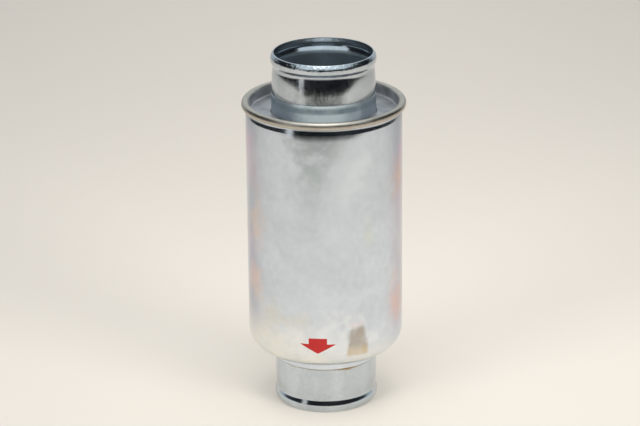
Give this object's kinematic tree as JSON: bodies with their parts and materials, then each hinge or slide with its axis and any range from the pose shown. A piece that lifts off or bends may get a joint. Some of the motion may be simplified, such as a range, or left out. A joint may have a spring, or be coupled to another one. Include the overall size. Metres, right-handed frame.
{
  "type": "fuel filter",
  "caption": "In-line metal-can fuel filter with a beaded hose tube at each end, a rolled seam, and a spring-held pleated element inside.",
  "frame": {"origin": "middle of the outlet tube's lower end, on the surface that the filter stands on", "axes": "+Z along the filter's axis, from the outlet to the inlet; -Y is the side with the flow arrow"},
  "size_m": [0.0604, 0.0604, 0.1355],
  "materials": {
    "can_zinc": "bright zinc plate, satin, faintly mottled",
    "cover_nickel": "plated steel, warm grey, slightly rough on the rolled rim",
    "tube_zinc": "bright plated tube, near mirror",
    "braze": "brown, slightly stained",
    "sealant": "matt seam compound",
    "arrow_red": "printed ink, semi-gloss",
    "inner_steel": "tin-plated sheet",
    "spring_steel": "drawn spring wire",
    "filter_paper": "resin-treated filter paper",
    "adhesive": "set adhesive",
    "gasket_rubber": "nitrile rubber"
  },
  "bodies": {
    "housing": {"canister": "can_zinc", "end_cover": "cover_nickel", "seam_compound": "sealant", "inlet_tube": "tube_zinc", "inlet_braze": "braze", "outlet_tube": "tube_zinc", "outlet_braze": "braze", "flow_arrow": "arrow_red", "spring_seat": "inner_steel", "retaining_spring": "spring_steel"},
    "element": {"element_guide": "inner_steel", "inlet_end_cap": "inner_steel", "inlet_potting": "adhesive", "pleated_media": "filter_paper", "media_seam_clip": "inner_steel", "pleat_bands": "adhesive", "center_tube": "inner_steel", "outlet_potting": "adhesive", "outlet_end_cap": "inner_steel", "outlet_gasket": "gasket_rubber"}
  },
  "joints": [
    {"name": "element_lift", "type": "slide", "parent": "housing", "child": "element", "axis": [0, 0, 1], "range_m": [0, 0.005], "stiffness_N_per_m": 440, "springref_m": -0.0156, "deforming": ["retaining_spring"]}
  ]
}
